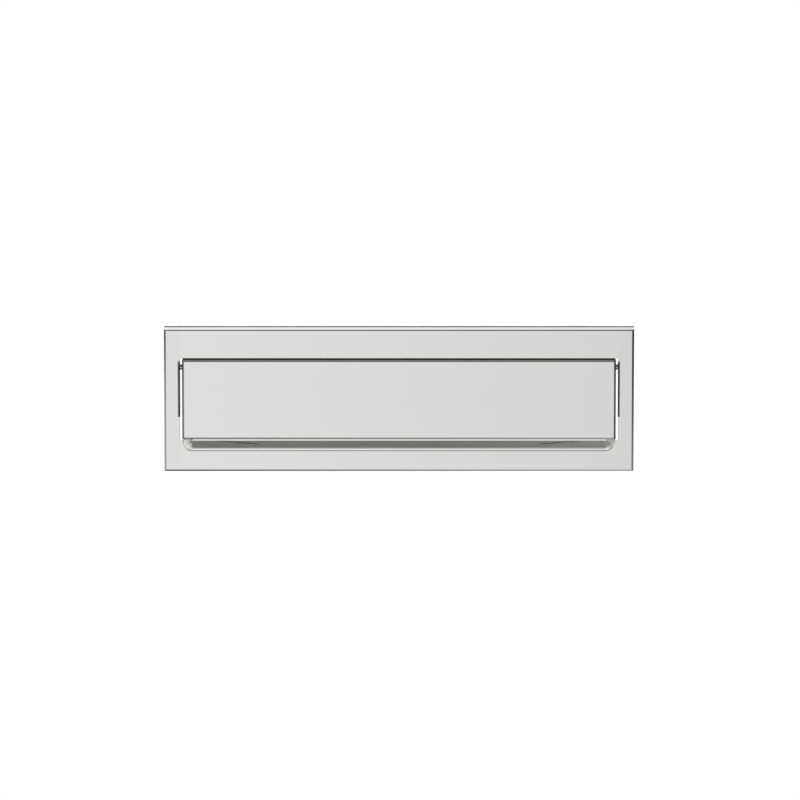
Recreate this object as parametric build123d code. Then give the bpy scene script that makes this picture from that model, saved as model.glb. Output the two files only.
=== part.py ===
from build123d import *
import math
import os

# Letter plate: a folded sheet-steel faceplate with a top-hinged flap that opens outwards.
# Millimetres. +X is to the right seen from outside, the face looks along -Y, +Z is up.
# The origin is the middle of the plane of the door that the gasket seals against.

# ---- plate ----
plate_width = 254.0
plate_height = 78.0
plate_depth = 7.5  # from the face to the back of the rear lip
sheet = 1.2  # thickness of the plate's and the flap's steel
bend_radius = 1.2  # outside radius of the plate's folded edges
lip_width = 4.0  # rear lip, folded inwards all round
side_margin = 8.5  # face beside the opening
top_margin = 16.0  # face above the opening
opening_corner = 0.8  # radius of the opening's upper corners
opening_roll = 0.2  # rounding of the face into the opening's upper edge

# ---- gasket ----
gasket_thick = 3.0
gasket_overhang = 0.3  # past the lip's inner edge

# ---- fixing bosses ----
boss_diameter = 6.0
boss_gap = 0.4  # between a boss and the sheet beside it
boss_bore = 3.3  # tapping size for M4
boss_floor = 0.8  # steel left at the blind end of the bore
boss_inset = 15.0  # from the plate's end

# ---- finger scoop: a pocket with sloping sides, pressed in under the flap ----
scoop_inset = 1.75  # the scoop's end, in from the opening's side
scoop_drop = 6.25  # its lower edge, below the flap
scoop_depth = 4.4  # its back wall, behind the face
scoop_slope = 45  # degrees, between its sides and the line straight in
scoop_corner = 5.0  # radius of its lower corners, in the face
scoop_lip_radius = 0.8
scoop_foot_radius = 2.0  # where the slope meets the back wall
sill_rise = 5.5  # top of the back wall, above the flap's lower edge
sill_radius = 1.5

# ---- side ears that carry the pivots ----
ear_length = 30.3
ear_top_gap = 2.0  # below the opening's upper edge
ear_bend_radius = 1.15
relief = 0.5  # height of the cut at each end of an ear's bend
relief_reach = 0.3  # how far that cut runs past the ear

# ---- flap ----
flap_gap_top = 1.0
flap_gap_side = 1.25
slot_end_gap = 0.3  # below the flap, where the side slots end
flap_edge_radius = 1.2
flap_top_return = 3.0
flap_bottom_return = 3.8

# ---- pivots ----
pin_diameter = 3.0
running_clearance = 0.05  # radial, pin in bush
spigot_step = 0.25  # the pin's end is this much smaller in radius
spigot_flat = 0.35  # depth of the flat that stops the pin from turning
press_clearance = 0.02  # radial, between pieces that don't turn on each other
pin_tail = 2.4  # past the ear
pin_head_thick = 1.6
head_rim = 0.8  # how far the head stands out past the coil
head_chamfer = 0.27
slot_width = 0.8  # screwdriver slot in the head
slot_depth = 0.8
head_clearance = 0.6  # between the pin's head and the inside of the flap
open_clearance = 0.5  # between the open flap and the opening's upper edge
door_clearance = 1.7  # between the flap's lugs and the door, before the gasket is squeezed
bush_wall = 0.65
bush_flange = 0.8  # how far the flange stands out from the bush
bush_flange_thick = 0.85
washer_diameter = 6.0
washer_thick = 0.5
clip_diameter = 5.6
clip_ring = 0.9  # width of the clip's ring
clip_tooth = 1.0  # width of each of its teeth
clip_tooth_root = 0.3  # a tooth stops this far short of the ring's outside
clip_thick = 0.6
clip_play = 0.05  # each side of the clip in its groove
groove_depth = 0.4

# ---- return springs ----
wire = 0.7
coil_clearance = 0.2  # radial, round the pin
coil_turns = 6.25  # from the tang on top to the leg in front
spring_space = 6.2  # between the pin's head and the bush
leg_length = 12.0
leg_end_gap = 0.3  # from the leg's end to the outside of the flap
tang_depth = 1.3  # into the pin's head
wire_bend_swell = 0.035  # the wire is this much fatter in radius at its sharp bends
leg_hole_clearance = 0.2  # radial
leg_standoff = 0.3  # between the moving leg and the bush's flange

# ---- weather seal, bonded to the flap's top return behind the gap ----
seal_gap = 0.3  # behind the face's sheet
seal_thick = 1.4
seal_edge = 0.45  # rounding of its upper edges
seal_rise = 1.0  # above the opening's upper edge
seal_end_gap = 0.3  # short of the flap's sides

# ---- bumpers ----
bumper_width = 14.0
bumper_lift = 0.5  # above the flap's bottom return, which swings out under it
bumper_edge = 0.5
bumper_gap = 0.2  # short of the closed flap
bumper_inset = 30.0  # middle of an end bumper, in from the scoop's end

# ---- working allowances ----
past = 1.0  # how far a cutting shape runs past what it cuts
near_enough = 1e-3

# ---- planes and places that follow from them ----
plate_end = plate_width / 2
plate_top = plate_height / 2
rim_y = -gasket_thick  # back of the rear lip
face_y = rim_y - plate_depth
inner_y = face_y + sheet  # back of the face's sheet
opening_side = plate_end - side_margin
opening_top = plate_top - top_margin
lip_end = plate_end - lip_width
lip_top = plate_top - lip_width

slope = math.radians(scoop_slope)
slope_room = sheet / math.cos(slope) - sheet * math.tan(slope)  # under the scoop's steel, behind the face
scoop_edge = -lip_top + boss_diameter + 2 * boss_gap + slope_room
scoop_end = opening_side - scoop_inset
scoop_back = face_y + scoop_depth

flap_top = opening_top - flap_gap_top
flap_bottom = scoop_edge + scoop_drop
flap_side = opening_side - flap_gap_side
sill_top = flap_bottom + sill_rise
slot_end = flap_bottom - slot_end_gap
ear_top = opening_top - ear_top_gap

pin_radius = pin_diameter / 2
spigot_radius = pin_radius - spigot_step
bush_radius = pin_radius + running_clearance + bush_wall
coil_radius = pin_radius + coil_clearance + wire / 2  # to the middle of the wire
head_radius = coil_radius + wire / 2 + head_rim
pivot_setback = sheet + head_radius + head_clearance  # behind the face
pivot_y = face_y + pivot_setback
pivot_z = flap_top - (pivot_setback + open_clearance - flap_gap_top)
lug_radius = -pivot_y - door_clearance

leg_y = pivot_y - coil_radius  # the spring's moving leg, where it enters the flap's side
leg_z = pivot_z - leg_length
leg_hole_radius = wire / 2 + leg_hole_clearance
bush_face = flap_side - sheet - bush_flange_thick  # inner side of the bush's flange
head_face = bush_face - spring_space  # side of the pin's head that the spring sits on
washer_start = opening_side + sheet
groove_start = washer_start + washer_thick
groove_end = groove_start + clip_thick + 2 * clip_play
tail_end = washer_start + pin_tail


def block(x0, x1, y0, y1, z0, z1):
    """A box between two corners."""
    return Pos((x0 + x1) / 2, (y0 + y1) / 2, (z0 + z1) / 2) * Box(x1 - x0, y1 - y0, z1 - z0)


def rod_x(radius, x0, x1, y=pivot_y, z=pivot_z):
    """A round bar along X, on the pivot's line unless told otherwise."""
    return Pos((x0 + x1) / 2, y, z) * Rot(0, 90, 0) * Cylinder(radius, x1 - x0)


def rod_y(radius, x, z, y0, y1):
    """A round bar along Y."""
    return Pos(x, (y0 + y1) / 2, z) * Rot(90, 0, 0) * Cylinder(radius, y1 - y0)


def other_side(shape):
    """The same piece on the left-hand side."""
    return mirror(shape, about=Plane.YZ)


def edges_along(shape, axis, **near):
    """The edges parallel to an axis whose middles lie at the given x, y or z."""
    def matches(edge):
        middle = edge.center()
        return all(abs(getattr(middle, k.upper()) - v) < near_enough for k, v in near.items())
    return [e for e in shape.edges().filter_by(axis) if matches(e)]


def scoop_form(grow):
    """The scoop's hollow, or with grow the outside of the steel around it."""
    out = grow / math.cos(slope)
    low, high = scoop_edge - out, plate_top
    half, corner = scoop_end + out, scoop_corner + out
    outline = Pos(0, -(low + high) / 2) * RectangleRounded(2 * half, high - low, corner)
    mouth = Plane(origin=(0, face_y, 0), x_dir=(1, 0, 0), z_dir=(0, 1, 0)) * outline
    return extrude(mouth, amount=scoop_depth + grow, dir=(0, 1, 0), taper=scoop_slope)


def on_scoop_edge(edge):
    """Whether an edge is part of the scoop's outline in the face, below the side slots."""
    box = edge.bounding_box()
    in_face = abs(box.min.Y - face_y) < near_enough and abs(box.max.Y - face_y) < near_enough
    within_ends = box.max.X < scoop_end + near_enough and box.min.X > -scoop_end - near_enough
    below_slots = box.min.Z > scoop_edge - near_enough and box.max.Z < slot_end + near_enough
    return in_face and within_ends and below_slots and edge.length > scoop_inset


def faceplate():
    """One sheet: face, four folded sides, rear lip, two ears and the finger scoop."""
    shell = block(-plate_end, plate_end, face_y, rim_y, -plate_top, plate_top)
    shell = fillet(shell.edges().group_by(Axis.Y)[0], bend_radius)
    shell -= block(
        sheet - plate_end, plate_end - sheet, inner_y, rim_y - sheet, sheet - plate_top, plate_top - sheet
    )
    shell -= block(-lip_end, lip_end, rim_y - sheet, rim_y, -lip_top, lip_top)

    opening = block(-opening_side, opening_side, face_y, inner_y, slot_end, opening_top)
    shell -= fillet(edges_along(opening, Axis.Y, z=opening_top), opening_corner)
    shell = fillet(edges_along(shell, Axis.X, y=face_y, z=opening_top), opening_roll)

    hollow = scoop_form(0)
    pressing = scoop_form(sheet) - hollow
    pressing -= block(-plate_end, plate_end, face_y, scoop_back, slot_end, plate_top)
    pressing -= block(-plate_end, plate_end, face_y, rim_y, sill_top, plate_top)
    shell -= hollow & block(-plate_end, plate_end, face_y, inner_y, -plate_top, slot_end)
    shell += pressing
    back_end = scoop_end - scoop_depth * math.tan(slope)
    shell += block(-back_end, back_end, scoop_back, rim_y, sill_top - sheet, sill_top)
    shell = fillet(edges_along(shell, Axis.X, y=scoop_back, z=sill_top), sill_radius)
    foot = scoop_edge + scoop_depth * math.tan(slope)
    shell = fillet(edges_along(shell, Axis.X, y=scoop_back, z=foot), scoop_foot_radius)
    lip = [e for e in shell.edges() if on_scoop_edge(e)]
    shell = fillet(lip, scoop_lip_radius)

    ear_bottom = ear_top - ear_length
    for side in (1, -1):
        inner, outer = side * opening_side, side * (opening_side + sheet)
        x0, x1 = min(inner, outer), max(inner, outer)
        ear = block(x0, x1, face_y, rim_y, ear_bottom, ear_top)
        ear = fillet(edges_along(ear, Axis.Z, x=inner, y=face_y), ear_bend_radius)
        far = outer + side * relief_reach
        r0, r1 = min(inner, far), max(inner, far)
        shell -= block(r0, r1, face_y, inner_y, ear_bottom - relief, ear_top + relief)
        land = block(min(outer, far), max(outer, far), face_y, inner_y, ear_bottom, ear_top)
        shell += ear + land
        shell -= pin_hole(side)
    return shell


def pin_hole(side):
    """The D-shaped hole through an ear."""
    hole = spigot(opening_side - past, opening_side + sheet + past, press_clearance)
    return hole if side > 0 else other_side(hole)


def spigot(x0, x1, grow=0.0):
    """The pin's end with its flat, or the hole for it."""
    radius = spigot_radius + grow
    flat = pivot_z + spigot_radius - spigot_flat + grow
    return rod_x(radius, x0, x1) - block(x0, x1, pivot_y - radius, pivot_y + radius, flat, flat + radius)


def flap():
    """A folded tray: face, top and bottom returns, and sides with round lugs for the bushes."""
    tray = block(-flap_side, flap_side, face_y, pivot_y, flap_bottom, flap_top)
    tray = fillet(tray.edges().group_by(Axis.Y)[0], flap_edge_radius)
    inside = flap_side - sheet
    for side in (1, -1):
        tray += rod_x(lug_radius, min(side * inside, side * flap_side), max(side * inside, side * flap_side))
    tray -= block(-inside, inside, inner_y, pivot_y, flap_bottom + sheet, flap_top - sheet)
    top_edge = face_y + flap_top_return
    bottom_edge = face_y + flap_bottom_return
    tray -= block(-inside, inside, top_edge, pivot_y, pivot_z, flap_top)
    tray -= block(-inside, inside, bottom_edge, pivot_y, flap_bottom, pivot_z)
    above_lug = block(-flap_side, flap_side, top_edge, pivot_y, pivot_z, flap_top)
    tray -= above_lug - rod_x(lug_radius, -flap_side, flap_side)
    tray -= rod_x(bush_radius + press_clearance, -flap_side, flap_side)
    tray -= rod_x(leg_hole_radius, -flap_side, flap_side, leg_y, leg_z)
    return tray


def pivot_pin():
    """Right-hand pin: slotted head, shank through the bush, flatted and grooved end."""
    pin = rod_x(head_radius, head_face - pin_head_thick, head_face)
    pin = chamfer(pin.edges().group_by(Axis.X)[0], head_chamfer)
    pin += rod_x(pin_radius, head_face, opening_side)
    end = spigot(opening_side, tail_end)
    end = chamfer(end.edges().group_by(Axis.X)[-1], spigot_step)
    groove = rod_x(pin_radius, groove_start, groove_end)
    groove -= rod_x(spigot_radius - groove_depth, groove_start, groove_end)
    pin += end - groove
    head_back = head_face - pin_head_thick
    pin -= Pos(0, pivot_y, pivot_z) * block(
        head_back - past, head_back + slot_depth, -slot_width / 2, slot_width / 2, -head_radius, head_radius
    )
    tang_hole = rod_x(wire / 2 + press_clearance, head_back, head_face, pivot_y, pivot_z + coil_radius)
    return pin - tang_hole


def bush():
    """Right-hand flanged bush, flush with the outside of the flap."""
    body = rod_x(bush_radius, flap_side - sheet, flap_side)
    body += rod_x(bush_radius + bush_flange, bush_face, flap_side - sheet)
    return body - rod_x(pin_radius + running_clearance, bush_face, flap_side)


def clip_washer():
    """Right-hand plain washer between the ear and the pin's clip."""
    ring = rod_x(washer_diameter / 2, washer_start, groove_start)
    return ring - rod_x(spigot_radius + press_clearance, washer_start, groove_start)


def pin_clip():
    """Right-hand E-clip: an open ring with three inner teeth that sit in the pin's groove."""
    x0, x1 = groove_start + clip_play, groove_end - clip_play
    seat = spigot_radius - groove_depth + press_clearance
    ring = rod_x(clip_diameter / 2, x0, x1) - rod_x(clip_diameter / 2 - clip_ring, x0, x1)
    tooth_top = clip_diameter / 2 - clip_tooth_root
    tooth = Pos(0, pivot_y, pivot_z) * block(x0, x1, -clip_tooth / 2, clip_tooth / 2, seat / 2, tooth_top)
    about = Axis((0, pivot_y, pivot_z), (1, 0, 0))
    for turn in (0, 90, -90):
        ring += tooth.rotate(about, turn)
    ring -= rod_x(seat, x0, x1)
    mouth = block(x0, x1, pivot_y - seat, pivot_y + seat, pivot_z - clip_diameter, pivot_z)
    return ring - mouth


def return_spring():
    """Right-hand torsion spring: a coil, a tang held by the pin's head and a leg hooked in the flap."""
    start = head_face + wire / 2
    stop = bush_face - leg_standoff - wire / 2
    place = Pos(start, pivot_y, pivot_z) * Rot(180, 0, 0) * Rot(0, 90, 0)
    line = place * Helix((stop - start) / coil_turns, stop - start, coil_radius)
    section = Plane(origin=line @ 0, z_dir=line % 0) * Circle(wire / 2)
    spring = sweep(section, path=line, is_frenet=True)
    tip = line @ 1 + (line % 1) * leg_length
    leg = Plane(origin=line @ 1, z_dir=line % 1) * Circle(wire / 2)
    spring += extrude(leg, amount=leg_length)
    ball = Sphere(wire / 2 + wire_bend_swell)
    top = pivot_z + coil_radius
    spring += Pos(*(line @ 0)) * ball + Pos(*tip) * ball
    spring += rod_x(wire / 2, head_face - tang_depth, start, pivot_y, top)
    return spring + rod_x(wire / 2, tip.X, flap_side - leg_end_gap, tip.Y, tip.Z)


def threaded_boss(x, z):
    """A blind tapped boss welded to the back of the face."""
    boss = rod_y(boss_diameter / 2, x, z, inner_y, rim_y)
    return boss - rod_y(boss_bore / 2, x, z, inner_y + boss_floor, rim_y)


def gasket():
    """A flat foam ring on the rear lip."""
    hole_x, hole_z = lip_end - gasket_overhang, lip_top - gasket_overhang
    ring = block(-plate_end, plate_end, rim_y, 0, -plate_top, plate_top)
    return ring - block(-hole_x, hole_x, rim_y, 0, -hole_z, hole_z)


def weather_seal():
    """A soft strip that closes the gap over the flap from behind."""
    end = flap_side - seal_end_gap
    front = inner_y + seal_gap
    strip = block(-end, end, front, front + seal_thick, flap_top, opening_top + seal_rise)
    return fillet(strip.edges().group_by(Axis.Z)[-1].filter_by(Axis.X), seal_edge)


def bumper(x):
    """A soft pad on the scoop's back wall that the flap shuts against."""
    front = inner_y + bumper_gap
    bottom = flap_bottom + sheet + bumper_lift
    top = sill_top - sill_radius
    pad = block(x - bumper_width / 2, x + bumper_width / 2, front, scoop_back, bottom, top)
    return fillet(pad.edges().group_by(Axis.Y)[0], bumper_edge)


def write(name, shape):
    """Export one piece as its own named file."""
    shape.label = name
    export_step(shape, f"parts/{name}.step")


os.makedirs("parts", exist_ok=True)
write("faceplate", faceplate())
write("flap", flap())
write("gasket", gasket())
write("weather_seal", weather_seal())

for name, piece in (
    ("pivot_pin", pivot_pin()),
    ("flap_bush", bush()),
    ("return_spring", return_spring()),
    ("clip_washer", clip_washer()),
    ("pin_clip", pin_clip()),
):
    write(f"right_{name}", piece)
    write(f"left_{name}", other_side(piece))

boss_x = plate_end - boss_inset
upper_boss_z = (opening_top + lip_top) / 2
lower_boss_z = -lip_top + boss_gap + boss_diameter / 2
for row, z in (("upper", upper_boss_z), ("lower", lower_boss_z)):
    write(f"{row}_left_fixing_boss", threaded_boss(-boss_x, z))
    write(f"{row}_right_fixing_boss", threaded_boss(boss_x, z))

bumper_x = scoop_end - bumper_inset
for place, x in (("left", -bumper_x), ("middle", 0), ("right", bumper_x)):
    write(f"{place}_bumper", bumper(x))
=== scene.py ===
import math

import bmesh
import bpy
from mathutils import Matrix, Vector, noise


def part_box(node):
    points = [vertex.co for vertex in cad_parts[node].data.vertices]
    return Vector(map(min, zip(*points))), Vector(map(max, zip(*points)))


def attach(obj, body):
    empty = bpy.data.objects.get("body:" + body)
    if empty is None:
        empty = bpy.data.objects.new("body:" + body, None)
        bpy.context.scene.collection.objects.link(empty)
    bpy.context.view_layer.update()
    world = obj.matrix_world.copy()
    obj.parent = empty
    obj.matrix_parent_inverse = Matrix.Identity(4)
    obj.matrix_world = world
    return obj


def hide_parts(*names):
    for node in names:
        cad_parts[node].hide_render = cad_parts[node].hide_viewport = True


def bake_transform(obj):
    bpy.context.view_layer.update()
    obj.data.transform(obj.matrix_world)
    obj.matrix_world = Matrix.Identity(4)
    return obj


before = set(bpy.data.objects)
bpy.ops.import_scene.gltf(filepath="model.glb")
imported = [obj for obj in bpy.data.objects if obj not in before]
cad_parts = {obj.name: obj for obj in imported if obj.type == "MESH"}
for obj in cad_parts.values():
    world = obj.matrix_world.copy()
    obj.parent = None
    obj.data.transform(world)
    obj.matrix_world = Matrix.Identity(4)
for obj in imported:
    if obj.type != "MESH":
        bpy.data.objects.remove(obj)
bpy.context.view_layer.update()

MM = 0.001

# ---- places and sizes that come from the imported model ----

plate_low, plate_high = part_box("faceplate")
flap_low, flap_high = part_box("flap")
gasket_low, gasket_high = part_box("gasket")
seal_low, seal_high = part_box("weather_seal")
pin_low, pin_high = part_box("right_pivot_pin")
bush_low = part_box("right_flap_bush")[0]
spring_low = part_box("right_return_spring")[0]
face_y = plate_low.y
plate_end = plate_high.x
plate_top = plate_high.z
flap_bottom = flap_low.z
flap_side = flap_high.x
pivot_y = (pin_low.y + pin_high.y) / 2
pivot_z = (pin_low.z + pin_high.z) / 2

# sizes of the sheet work, as the drawing gives them
SHEET = 1.2 * MM
LIP = 4.3 * MM  # width of the gasket
SCOOP_DEPTH = 4.4 * MM
SCOOP_END = 116.75 * MM
SCOOP_EDGE = flap_bottom - 6.25 * MM
EAR_FACE = 118.5 * MM
EAR_TOP = 21.0 * MM
EAR_BOTTOM = -9.3 * MM


# ---------------------------------------------------------------- node building

class Level:
    """A number that varies over a surface. Python's operators on it add the Math nodes.

    a | b is the greater of the two and a & b is the lesser, so masks join and cross.
    """

    def __init__(self, nodes, socket):
        self.nodes = nodes
        self.socket = socket

    def maths(self, operation, *values):
        node = self.nodes.add("ShaderNodeMath", {"operation": operation}, dict(enumerate(values)))
        return Level(self.nodes, node.outputs[0])

    def __add__(self, other):
        return self.maths("ADD", self, other)

    def __sub__(self, other):
        return self.maths("SUBTRACT", self, other)

    def __rsub__(self, other):
        return self.maths("SUBTRACT", other, self)

    def __mul__(self, other):
        return self.maths("MULTIPLY", self, other)

    def __truediv__(self, other):
        return self.maths("DIVIDE", self, other)

    def __rtruediv__(self, other):
        return self.maths("DIVIDE", other, self)

    def __neg__(self):
        return self.maths("MULTIPLY", self, -1.0)

    def __pow__(self, other):
        return self.maths("POWER", self, other)

    def __rpow__(self, other):
        return self.maths("POWER", other, self)

    def __abs__(self):
        return self.maths("ABSOLUTE", self)

    def __or__(self, other):
        return self.maths("MAXIMUM", self, other)

    def __and__(self, other):
        return self.maths("MINIMUM", self, other)

    __radd__ = __add__
    __rmul__ = __mul__
    __ror__ = __or__
    __rand__ = __and__

    def above(self, edge, soft):
        """0 below the edge and 1 above it, with a soft step between."""
        return ((self - edge) / soft + 0.5) & 1.0 | 0.0

    def below(self, edge, soft):
        """1 below the edge and 0 above it."""
        return 1.0 - self.above(edge, soft)

    def between(self, low, high, soft):
        """1 from low to high and 0 outside."""
        return self.above(low, soft) * self.below(high, soft)

    def toward(self, other, amount):
        """This level where amount is 0, turning into the other where it is 1."""
        return self * (1.0 - amount) + other * amount


class NodeBook:
    """A node tree, and the few ways that nodes are added to it here."""

    def __init__(self, tree):
        self.tree = tree

    def add(self, kind, settings=None, sockets=None):
        """A node of any kind: its settings first, then the values or links of its sockets."""
        node = self.tree.nodes.new(kind)
        for name, value in (settings or {}).items():
            setattr(node, name, value)
        for key, value in (sockets or {}).items():
            self.plug(node.inputs[key], value)
        return node

    def plug(self, socket, value):
        """Give a socket a link, a plain value, or a colour of three parts."""
        if isinstance(value, Level):
            value = value.socket
        if isinstance(value, bpy.types.NodeSocket):
            self.tree.links.new(value, socket)
        elif socket.type == "RGBA" and len(value) == 3:
            socket.default_value = (*value, 1.0)
        else:
            socket.default_value = value

    def split(self, vector):
        """The three parts of a vector, each as a level."""
        parts = self.add("ShaderNodeSeparateXYZ", {}, {0: vector})
        return [Level(self, output) for output in parts.outputs]

    def blend(self, factor, first, second):
        """One colour turning into another."""
        mix = self.add("ShaderNodeMix", {"data_type": "RGBA"}, {0: factor, 6: first, 7: second})
        return mix.outputs[2]


class Finish(NodeBook):
    """One material for a piece, with its Principled shader and the piece's own x, y and z."""

    def __init__(self, name, **sockets):
        self.material = bpy.data.materials.new(name)
        self.material.use_nodes = True
        super().__init__(self.material.node_tree)
        self.shader = self.tree.nodes["Principled BSDF"]
        self.place = self.add("ShaderNodeTexCoord").outputs["Object"]
        self.x, self.y, self.z = self.split(self.place)
        self.set({name.replace("_", " "): value for name, value in sockets.items()})

    def set(self, sockets):
        """Plug values or links into the Principled shader by the names of its sockets."""
        for name, value in sockets.items():
            self.plug(self.shader.inputs[name], value)

    def noise(self, scale, stretch=(1, 1, 1), detail=2.0, roughness=0.5):
        """Soft noise about 0.5, stretched along the axes."""
        place = self.add("ShaderNodeMapping", {}, {"Vector": self.place, "Scale": stretch})
        sockets = {"Vector": place.outputs[0], "Scale": scale, "Detail": detail, "Roughness": roughness}
        texture = self.add("ShaderNodeTexNoise", {}, sockets)
        return Level(self, texture.outputs["Fac"])

    def cells(self, scale):
        """Distance to the nearest of many scattered points."""
        sockets = {"Vector": self.place, "Scale": scale}
        texture = self.add("ShaderNodeTexVoronoi", {"feature": "F1"}, sockets)
        return Level(self, texture.outputs["Distance"])

    def bump(self, height, distance):
        """Roughen the shading by a height, whose 1 stands for the distance."""
        sockets = {"Height": height, "Distance": distance, "Strength": 1.0}
        relief = self.add("ShaderNodeBump", {}, sockets)
        self.set({"Normal": relief.outputs[0]})


# ---------------------------------------------------------------- finishes

POLISHED = (0.652, 0.655, 0.640)
MILL = (0.50, 0.50, 0.48)
# near-black for painted shade and painted dark reflections on the sheet
PAINTED_DARK_COLOUR = (0.030, 0.028, 0.025)
CHALK = (0.86, 0.86, 0.83)
UPRIGHTS = 118.0 * MM  # where the face's upright margins begin, at each end of the opening


def tinted(colour, amount):
    """A colour made darker or brighter."""
    return tuple(part * amount for part in colour)


def steel_sheet(name, polished, painted_dark, chalky):
    """Stainless sheet, mirror polished where the wheel reached and left in mill finish elsewhere.

    The three functions give the polished, painted-dark and chalky masks from the finish; the painted-dark
    mask marks painted shade and painted dark reflections.
    """
    f = Finish(name)
    bright = polished(f)
    dark_paint = painted_dark(f)
    chalk = chalky(f)

    # the wheel's fine lines run along the plate, and upwards on its upright margins
    level_lines = f.noise(60.0, stretch=(1, 30, 40), detail=3.0)
    upright_lines = f.noise(60.0, stretch=(40, 30, 1), detail=3.0)
    upright = abs(f.x).above(UPRIGHTS, 1.5 * MM)
    lines = level_lines.toward(upright_lines, upright)
    cloud = f.noise(9.0, detail=3.0)
    smears = f.noise(28.0, stretch=(1.0, 1.0, 2.2), detail=5.0, roughness=0.65).between(0.62, 0.80, 0.10)
    shine = f.blend(lines * 0.5 + cloud * 0.5, tinted(POLISHED, 0.978), tinted(POLISHED, 1.022))
    shine = f.blend(upright * 0.5, shine, tinted(POLISHED, 0.95))

    # the mill finish has rolling grain, and painted light makes it paler towards the right
    grain = f.noise(300.0, stretch=(0.12, 1, 1), detail=4.0, roughness=0.7)
    mill = f.blend(grain, tinted(MILL, 0.8), tinted(MILL, 1.15))
    mill = f.blend(f.x.above(70.0 * MM, 90.0 * MM) * 0.6, mill, tinted(MILL, 1.5))

    colour = f.blend(bright, mill, shine)
    # painted shade and painted dark reflections: the painted-dark places turn near-black, varied by noise
    stain = f.noise(180.0, detail=5.0, roughness=0.7).between(0.55, 0.9, 0.2)
    colour = f.blend(dark_paint, colour, f.blend(stain, PAINTED_DARK_COLOUR, tinted(PAINTED_DARK_COLOUR, 6.0)))
    colour = f.blend(chalk, colour, CHALK)
    sheen = (0.30 + grain * 0.12).toward(0.045 + smears * 0.05 + lines * 0.02, bright)
    f.set({
        "Base Color": colour,
        "Metallic": 1.0 - chalk,
        "Roughness": sheen + dark_paint * 0.4 + chalk * 0.5,
    })
    f.bump((grain * 0.012).toward(cloud * 0.6, bright) + lines * 0.0025, 0.06 * MM)
    return f.material


def plate_polished(f):
    """The face with its bends, the four sides, and the scoop's hollow."""
    deep = f.y - face_y
    front = deep.below(SHEET - 0.15 * MM, 0.1 * MM)
    ends = abs(f.x).above(plate_end - 0.5 * MM, 0.1 * MM)
    top_and_bottom = abs(f.z).above(plate_top - 0.5 * MM, 0.1 * MM)
    inside = (f.z - SCOOP_EDGE - deep) & (SCOOP_END - abs(f.x) - deep)  # how far inside the sloping sides
    scoop = inside.above(-0.4 * MM, 0.1 * MM) * deep.below(SCOOP_DEPTH + 0.4 * MM, 0.1 * MM)
    return front | ends | top_and_bottom | scoop * f.z.below(0.0, MM)


def plate_painted_dark(f):
    """Where the plate is painted dark: painted shade on the ears in the side gaps, a darkened band next to
    the gasket, two painted dark reflections down the scoop's slope and painted shade on the rim of the
    scoop's corners.
    """
    across, deep = abs(f.x), f.y - face_y
    # painted shade: the ears' faces in the side gaps are made near-black
    ear = across.between(EAR_FACE - 0.3 * MM, EAR_FACE + SHEET, 0.1 * MM)
    ear = ear * deep.above(0.09 * MM, 0.08 * MM) * f.z.between(EAR_BOTTOM, EAR_TOP, 0.3 * MM)
    # the steel darkened in a band along its top and bottom sides next to the gasket
    joint = f.y.above(gasket_low.y - 1.7 * MM, MM) * abs(f.z).above(plate_top - 0.2 * MM, 0.1 * MM)
    # painted reflections: two dark streaks run down the scoop's slope towards its middle
    streak_end, streak_length, streak_level, streak_slope = 98.0 * MM, 22.0 * MM, -23.0 * MM, 0.07
    run = across - streak_end
    reflected_streak = abs(f.z - streak_level - run * streak_slope).below(0.20 * MM, 0.20 * MM)
    reflected_streak = reflected_streak * run.between(-streak_length, 0.0, 3.0 * MM)
    reflected_streak = reflected_streak * deep.between(0.8 * MM, SCOOP_DEPTH + 0.1 * MM, 0.1 * MM)
    # painted shade: a dark line on the outer bend round the scoop's rounded corners
    rim = across.between(SCOOP_END - 4.4 * MM, SCOOP_END + 0.4 * MM, 0.8 * MM)
    rim = rim * f.z.between(SCOOP_EDGE - 0.5 * MM, SCOOP_EDGE + 2.2 * MM, 0.8 * MM)
    rim = rim * deep.between(0.04 * MM, 0.36 * MM, 0.05 * MM)
    return ear * 0.94 | joint * 0.85 | reflected_streak * 0.75 | rim * 0.7


def plate_chalky(f):
    """Dried polishing compound, caught in the rounded ends of the scoop and most of it in the left one."""
    patches = f.noise(420.0, detail=4.0, roughness=0.7).above(0.38, 0.24)
    ends = abs(f.x).between(SCOOP_END - 4.6 * MM, SCOOP_END + 0.2 * MM, 1.2 * MM)
    pocket = (f.y - face_y).between(0.15 * MM, 3.6 * MM, 0.2 * MM)
    pocket = pocket * f.z.between(SCOOP_EDGE, flap_bottom, 0.5 * MM)
    return ends * pocket * patches * (0.85 - f.x.above(0.0, MM) * 0.55)


def flap_polished(f):
    """The flap's face and bends, down to its lower edge."""
    front = (f.y - face_y).below(SHEET - 0.15 * MM, 0.1 * MM)
    return front * f.z.above(flap_bottom + 0.35 * MM, 0.3 * MM)


def flap_painted_dark(f):
    """Painted shade on the bends at the flap's ends, where they face the ears across the side gaps."""
    ends = abs(f.x).above(flap_side - 0.95 * MM, 0.2 * MM) * (f.y - face_y).above(0.07 * MM, 0.12 * MM)
    # painted shade, more of it on the right
    return ends * (0.62 + f.x.above(0.0, MM) * 0.30)  # more of it on the right


def flap_chalky(f):
    """Hardly any compound: a trace on the lugs."""
    return f.noise(300.0, detail=4.0).above(0.68, 0.1) * f.y.above(pivot_y, MM) * 0.3


def turned_steel():
    """Stainless bar with fine rings from the lathe."""
    f = Finish("turned_steel", Metallic=1.0)
    rings = f.noise(900.0, stretch=(1, 0.05, 0.05), detail=2.0)
    stain = f.noise(220.0, detail=4.0)
    f.set({
        "Base Color": f.blend(stain, (0.46, 0.46, 0.45), (0.60, 0.60, 0.58)),
        "Roughness": 0.20 + rings * 0.16,
    })
    f.bump(rings, 0.01 * MM)
    return f.material


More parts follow.
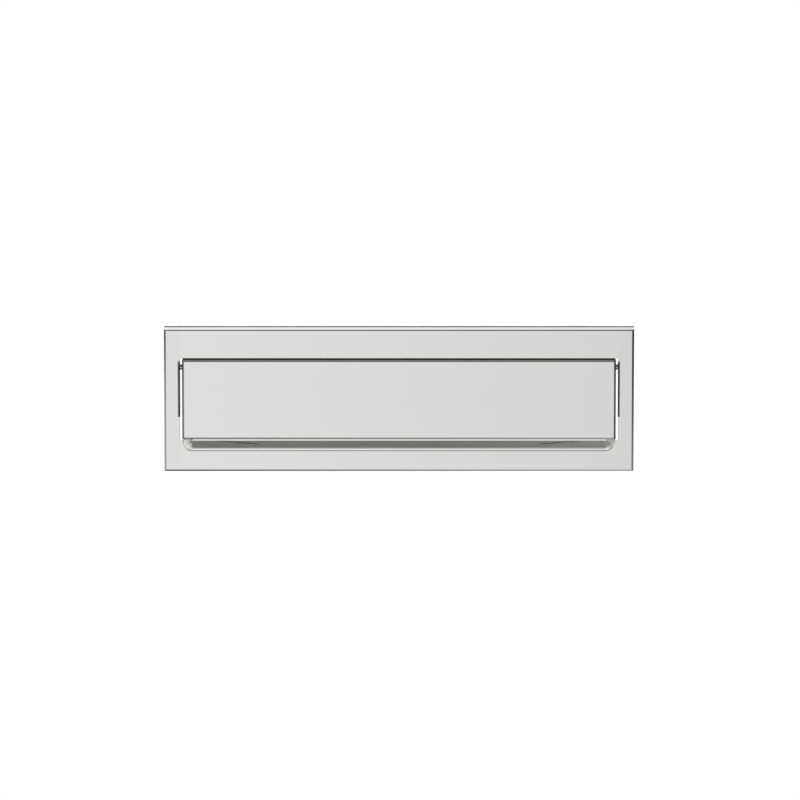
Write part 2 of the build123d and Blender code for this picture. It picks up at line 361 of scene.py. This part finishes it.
def welded_steel():
    """Bosses: turned bar, tinted by the heat of the weld near the plate."""
    f = Finish("welded_boss_steel", Metallic=1.0)
    rings = f.noise(700.0, stretch=(0.05, 1, 0.05), detail=2.0)
    heat = f.y.below(face_y + SHEET + 1.6 * MM, 1.6 * MM) * f.noise(400.0, detail=3.0).above(0.42, 0.3)
    f.set({
        "Base Color": f.blend(heat * 0.7, (0.55, 0.55, 0.54), (0.30, 0.22, 0.14)),
        "Roughness": 0.24 + rings * 0.14,
    })
    f.bump(rings, 0.01 * MM)
    return f.material


def spring_wire():
    """Hard-drawn wire: dark, bright along its length."""
    f = Finish("spring_wire", Metallic=1.0)
    drawn = f.noise(600.0, stretch=(1, 0.4, 0.4), detail=3.0)
    f.set({
        "Base Color": f.blend(drawn, (0.22, 0.22, 0.22), (0.40, 0.40, 0.40)),
        "Roughness": 0.26 + drawn * 0.18,
    })
    f.bump(drawn, 0.008 * MM)
    return f.material


def acetal():
    """Black moulded acetal with a faint polish where it rubs."""
    f = Finish("acetal", Metallic=0.0)
    skin = f.noise(1200.0, detail=3.0)
    f.set({
        "Base Color": f.blend(skin, (0.018, 0.018, 0.019), (0.034, 0.034, 0.036)),
        "Roughness": 0.38 + skin * 0.14,
    })
    f.bump(skin, 0.01 * MM)
    return f.material


def foam_rubber(name, deep, pale):
    """Closed-cell foam: tiny open pores, and a dusty bloom that turns the deep colour pale."""
    f = Finish(name, Metallic=0.0)
    pores = f.cells(1500.0)
    bloom = f.noise(60.0, detail=5.0)
    f.set({
        "Base Color": f.blend(bloom, deep, pale),
        "Roughness": 0.80 + bloom * 0.15,
    })
    f.bump(pores, 0.12 * MM)
    return f.material


def moulded_rubber():
    """Smooth rubber with a slight grain."""
    f = Finish("moulded_rubber", Metallic=0.0)
    grain = f.noise(1800.0, detail=2.0)
    bloom = f.noise(150.0, detail=4.0)
    f.set({
        "Base Color": f.blend(bloom, (0.010, 0.010, 0.010), (0.028, 0.027, 0.026)),
        "Roughness": 0.55 + bloom * 0.2,
    })
    f.bump(grain, 0.02 * MM)
    return f.material


def dress(material, *nodes):
    """Give CAD nodes their finish."""
    for node in nodes:
        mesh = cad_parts[node].data
        mesh.materials.clear()
        mesh.materials.append(material)


SIDES = ("left", "right")
steel = turned_steel()
boss_steel = welded_steel()
wire_steel = spring_wire()
foam = foam_rubber("foam_rubber", (0.012, 0.011, 0.010), (0.036, 0.033, 0.029))
dusty_foam = foam_rubber("dusty_foam_rubber", (0.055, 0.046, 0.040), (0.14, 0.12, 0.105))
rubber = moulded_rubber()
dress(steel_sheet("polished_plate", plate_polished, plate_painted_dark, plate_chalky), "faceplate")
dress(steel_sheet("polished_flap", flap_polished, flap_painted_dark, flap_chalky), "flap")
dress(acetal(), *(f"{side}_flap_bush" for side in SIDES))
dress(steel, *(f"{side}_{piece}" for side in SIDES for piece in ("pivot_pin", "clip_washer")))
dress(wire_steel, *(f"{side}_pin_clip" for side in SIDES))
dress(boss_steel, *(f"{row}_{side}_fixing_boss" for row in ("upper", "lower") for side in SIDES))


# ---------------------------------------------------------------- pieces made here

def make_piece(name, rings, closed, material):
    """Skin a piece over rings of points, each ring closed on itself.

    closed joins the last ring to the first; otherwise both ends are capped.
    """
    mesh = bpy.data.meshes.new(name)
    built = bmesh.new()
    rows = [[built.verts.new(point) for point in ring] for ring in rings]
    count = len(rows[0])
    pairs = list(zip(rows, rows[1:])) + ([(rows[-1], rows[0])] if closed else [])
    for first, second in pairs:
        for i in range(count):
            j = (i + 1) % count
            built.faces.new((first[i], first[j], second[j], second[i]))
    if not closed:
        built.faces.new(rows[0])
        built.faces.new(rows[-1])
    bmesh.ops.recalc_face_normals(built, faces=built.faces)
    for face in built.faces:
        face.smooth = True
    built.to_mesh(mesh)
    built.free()
    mesh.materials.append(material)
    obj = bpy.data.objects.new(name, mesh)
    bpy.context.scene.collection.objects.link(obj)
    return obj


def along(path, radius, sides=12, closed=False, swell=None):
    """Rings of a round bar that follows a path without twisting.

    swell gives the share of the radius at each point of the path, by its number.
    """
    rings = []
    lift = Vector((0.3, 0.5, 0.8))
    count = len(path)
    for i, point in enumerate(path):
        before = path[i - 1] if i or closed else point
        after = path[(i + 1) % count] if i + 1 < count or closed else point
        ahead = (after - before).normalized()
        lift = (lift - ahead * lift.dot(ahead)).normalized()
        across = ahead.cross(lift)
        size = radius * (swell(i) if swell else 1.0)
        turns = [2 * math.pi * k / sides for k in range(sides)]
        rings.append([point + (lift * math.cos(t) + across * math.sin(t)) * size for t in turns])
    return rings


def elbow(corner, coming, going, radius, steps=6):
    """Points that round a right-angled corner between two directions."""
    centre = corner - coming * radius + going * radius
    angles = [math.pi / 2 * k / steps for k in range(steps + 1)]
    return [centre - going * radius * math.cos(a) + coming * radius * math.sin(a) for a in angles]


def torsion_spring(side):
    """The wire of a return spring: tang, coil, leg and hook."""
    wire = 0.35 * MM  # radius
    head_rim = 0.8 * MM  # of the pin's head, outside the coil
    tang = 1.3 * MM
    gap = 0.3 * MM  # between coil and bush, and left at the hook's end
    leg, bend = 12.0 * MM, 0.8 * MM
    turns, steps = 6.25, 48
    coil = pin_high.z - pivot_z - head_rim - wire  # radius to the middle of the wire
    head_face = spring_low.x + tang
    start, stop = head_face + wire, bush_low.x - gap - wire
    right, down = Vector((1, 0, 0)), Vector((0, 0, -1))
    path = [Vector((x, pivot_y, pivot_z + coil)) for x in (spring_low.x, head_face - wire)]
    total = round(turns * steps)
    for i in range(total + 1):
        a = 2 * math.pi * i / steps
        x = start + (stop - start) * i / total
        path.append(Vector((x, pivot_y - coil * math.sin(a), pivot_z + coil * math.cos(a))))
    foot = path[-1] + down * leg
    path += [path[-1].lerp(foot, k / 8) for k in range(1, 7)]
    path += elbow(foot, down, right, bend)
    path.append(Vector((flap_side - gap, foot.y, foot.z)))
    if side == "left":
        path = [Vector((-p.x, p.y, p.z)) for p in path]
    piece = make_piece(f"{side}_spring_wire", along(path, wire), False, wire_steel)
    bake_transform(piece)
    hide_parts(f"{side}_return_spring")


def wander(place, scale, amount):
    """A small smooth waver, the same on every run."""
    return noise.noise(place * scale) * amount


def rounded_profile(width, depth, radius):
    """Points round a rectangle with rounded corners, which lies from 0 to width by 0 to depth."""
    far, high, steps = width - radius, depth - radius, 4
    points = []
    for cx, cy, turn in ((far, radius, -90), (far, high, 0), (radius, high, 90), (radius, radius, 180)):
        for k in range(steps + 1):
            a = math.radians(turn + 90 * k / steps)
            points.append((cx + radius * math.cos(a), cy + radius * math.sin(a)))
    return points


def foam_gasket():
    """Foam strip round the rear lip. Squeezed a little, so it stands proud of the steel."""
    depth = gasket_high.y - gasket_low.y
    squeeze, bulge, edge_radius = 0.04 * MM, 0.10 * MM, 0.5 * MM
    profile = rounded_profile(LIP + squeeze, depth, edge_radius)
    half_x, half_z = plate_end + squeeze, plate_top + squeeze
    round_the_lip = ((-1, -1), (1, -1), (1, 1), (-1, 1))
    corners = [Vector((half_x * x, 0, half_z * z)) for x, z in round_the_lip]
    rings = []
    for corner, following in zip(corners, corners[1:] + corners[:1]):
        steps = 90 if corner.z == following.z else 28
        for k in range(steps):
            ring = []
            for inward, y in profile:
                swell = bulge * math.sin(math.pi * y / depth)
                reach = inward + (swell if inward > LIP / 2 else -swell)
                mitres = [
                    c - Vector((math.copysign(reach, c.x), 0, math.copysign(reach, c.z)))
                    for c in (corner, following)
                ]
                point = mitres[0].lerp(mitres[1], k / steps) + Vector((0, gasket_low.y + y, 0))
                waver = wander(point, 140.0, 0.06 * MM)
                ring.append(point + Vector((waver, 0, waver)))
            rings.append(ring)
    piece = make_piece("foam_gasket", rings, True, foam)
    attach(piece, "frame")
    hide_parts("gasket")


def soft_seal():
    """Foam strip behind the gap over the flap, with rounded edges and slightly pinched ends."""
    radius = 0.45 * MM
    steps = 160
    size = seal_high - seal_low
    middle_y, middle_z = size.y / 2, size.z / 2
    rings = []
    for k in range(steps + 1):
        x = seal_low.x + size.x * k / steps
        from_end = min(x - seal_low.x, seal_high.x - x)
        pinch = 1.0 - 0.18 * max(0.0, 1.0 - from_end / radius) ** 2
        ring = []
        for y, z in rounded_profile(size.y, size.z, radius):
            waver = wander(Vector((x, y, z)), 160.0, 0.1 * MM)
            ring.append(Vector((
                x,
                seal_low.y + middle_y + (y - middle_y) * pinch + waver,
                seal_low.z + middle_z + (z - middle_z) * pinch,
            )))
        rings.append(ring)
    piece = make_piece("flap_seal", rings, False, dusty_foam)
    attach(piece, "flap")
    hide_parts("weather_seal")


def rubber_bumper(place):
    """A moulded pad with ribs up its front, which the flap meets."""
    low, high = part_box(f"{place}_bumper")
    length, depth, height = high - low
    ribs, steps = 7, 84
    end_radius, edge_radius = 0.8 * MM, 0.45 * MM
    rings = []
    for k in range(steps + 1):
        share = k / steps
        x = low.x + length * share
        from_end = min(share, 1 - share) * length
        round_off = math.sqrt(max(0.0, 1.0 - max(0.0, 1.0 - from_end / end_radius) ** 2))
        rib = 0.5 - 0.5 * math.cos(2 * math.pi * share * ribs)
        proud = depth * (0.80 + 0.20 * rib) * (0.55 + 0.45 * round_off)
        tall = height * (0.86 + 0.14 * round_off)
        foot = low.z + (height - tall) / 2
        profile = rounded_profile(proud, tall, edge_radius)
        rings.append([Vector((x, high.y - y, foot + z)) for y, z in profile])
    piece = make_piece(f"{place}_rubber_pad", rings, False, rubber)
    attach(piece, "frame")
    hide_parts(f"{place}_bumper")


def boss_details(row, side):
    """The weld round a boss's foot, and the thread cut in its bore."""
    low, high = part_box(f"{row}_{side}_fixing_boss")
    x, z = (low.x + high.x) / 2, (low.z + high.z) / 2

    foot, bead = (high.x - low.x) / 2, 0.28 * MM  # radii
    beats, steps = 16, 96
    angles = [2 * math.pi * k / steps for k in range(steps)]
    seam = [Vector((x + foot * math.cos(a), low.y, z + foot * math.sin(a))) for a in angles]

    def ripple(i):
        return 1.0 + 0.22 * math.sin(angles[i] * beats) + wander(seam[i], 900.0, 0.2)

    weld = make_piece(f"{row}_{side}_weld", along(seam, bead, 10, True, ripple), True, boss_steel)

    bore, crest, pitch = 1.65 * MM, 0.17 * MM, 0.7 * MM
    lead_in, blind_end = 0.3 * MM, 1.1 * MM
    steps = 32  # to a turn
    turns = (high.y - low.y - lead_in - blind_end) / pitch
    count = round(turns * steps)
    helix = []
    for k in range(count + 1):
        a = 2 * math.pi * k / steps
        y = high.y - lead_in - pitch * turns * k / count
        helix.append(Vector((x + bore * math.cos(a), y, z + bore * math.sin(a))))
    thread = make_piece(f"{row}_{side}_thread", along(helix, crest, 6), False, boss_steel)

    for piece in (weld, thread):
        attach(piece, "frame")


for side in SIDES:
    torsion_spring(side)
    for row in ("upper", "lower"):
        boss_details(row, side)
foam_gasket()
soft_seal()
for place in ("left", "middle", "right"):
    rubber_bumper(place)


# ---------------------------------------------------------------- studio

def studio():
    """Plain white light all round. Polished steel also mirrors the dark strips that edge a studio set."""
    world = bpy.data.worlds.new("studio")
    world.use_nodes = True
    book = NodeBook(world.node_tree)
    right, back, up = book.split(book.add("ShaderNodeTexCoord").outputs["Generated"])
    flat = (right * right + back * back) ** 0.5
    elevation = up.maths("ARCTAN2", up, flat) * (180 / math.pi)
    azimuth = right.maths("ARCTAN2", right, -back) * (180 / math.pi)  # 0 before the face, 90 to the right
    turned = abs(azimuth)

    # the big white sheet in front, a touch brighter on the left, with greyer ends to the room
    room = 1.07 - (right & 0.08 | -0.08) * 1.85
    room = room.toward(0.60, turned.between(34.0, 150.0, 24.0) * elevation.between(-55.0, 60.0, 24.0))
    # a black strip on each side, level with the plate, whose lower edge hangs lower on the right
    left_strip = 0.04 + elevation.below(-9.3, 0.35) * 0.52
    right_strip = 0.02 + elevation.below(-9.85, 0.6) * 0.36
    strip = left_strip.toward(right_strip, right.above(0.0, 0.2))
    room = room.toward(strip, turned.between(15.0, 162.0, 14.0) * elevation.between(-12.4, -7.2, 1.2))
    # a black strip above the camera, and dark matting under the plate that gets paler to the right
    room = room.toward(0.07, turned.below(16.0, 10.0) * elevation.between(16.0, 66.0, 8.0))
    matting = 0.06 + right.above(0.0, 0.07) * 0.50
    room = room.toward(matting, abs(right).below(0.20, 0.12) * elevation.below(-32.0, 20.0))

    path = book.add("ShaderNodeLightPath")
    mirrored = Level(book, path.outputs["Is Glossy Ray"])
    background = world.node_tree.nodes["Background"]
    book.plug(background.inputs["Color"], (1.0, 1.0, 1.0))
    book.plug(background.inputs["Strength"], room.toward(1.1, 1.0 - mirrored))
    return world


def floor():
    """A plain pale floor well below the plate, left out of the mirror images."""
    half, level = 12.0, -1.5
    mesh = bpy.data.meshes.new("floor")
    corners = [(-half, -half, level), (half, -half, level), (half, half, level), (-half, half, level)]
    mesh.from_pydata(corners, [], [(0, 1, 2, 3)])
    paint = Finish("pale_floor", Roughness=0.8)
    paint.set({"Base Color": (0.95, 0.95, 0.95)})
    mesh.materials.append(paint.material)
    obj = bpy.data.objects.new("floor", mesh)
    bpy.context.scene.collection.objects.link(obj)
    obj.visible_glossy = False


def camera():
    """A long lens in front of the plate's middle, looking down on it a little."""
    elevation = math.radians(9.6)
    distance = 4.0
    width_seen = 432.5 * MM  # across the view, at the face
    aim = Vector((0.55 * MM, face_y, 0.2 * MM))
    data = bpy.data.cameras.new("camera")
    data.sensor_width = 36.0
    data.lens = data.sensor_width * distance / width_seen
    data.clip_start, data.clip_end = 0.05, 50.0
    obj = bpy.data.objects.new("camera", data)
    bpy.context.scene.collection.objects.link(obj)
    gaze = Vector((0.0, math.cos(elevation), -math.sin(elevation)))
    obj.location = aim - gaze * distance
    obj.rotation_mode = "QUATERNION"
    obj.rotation_quaternion = gaze.to_track_quat("-Z", "Y")
    return obj


scene = bpy.context.scene
scene.view_settings.view_transform = "Standard"
scene.world = studio()
scene.camera = camera()
floor()
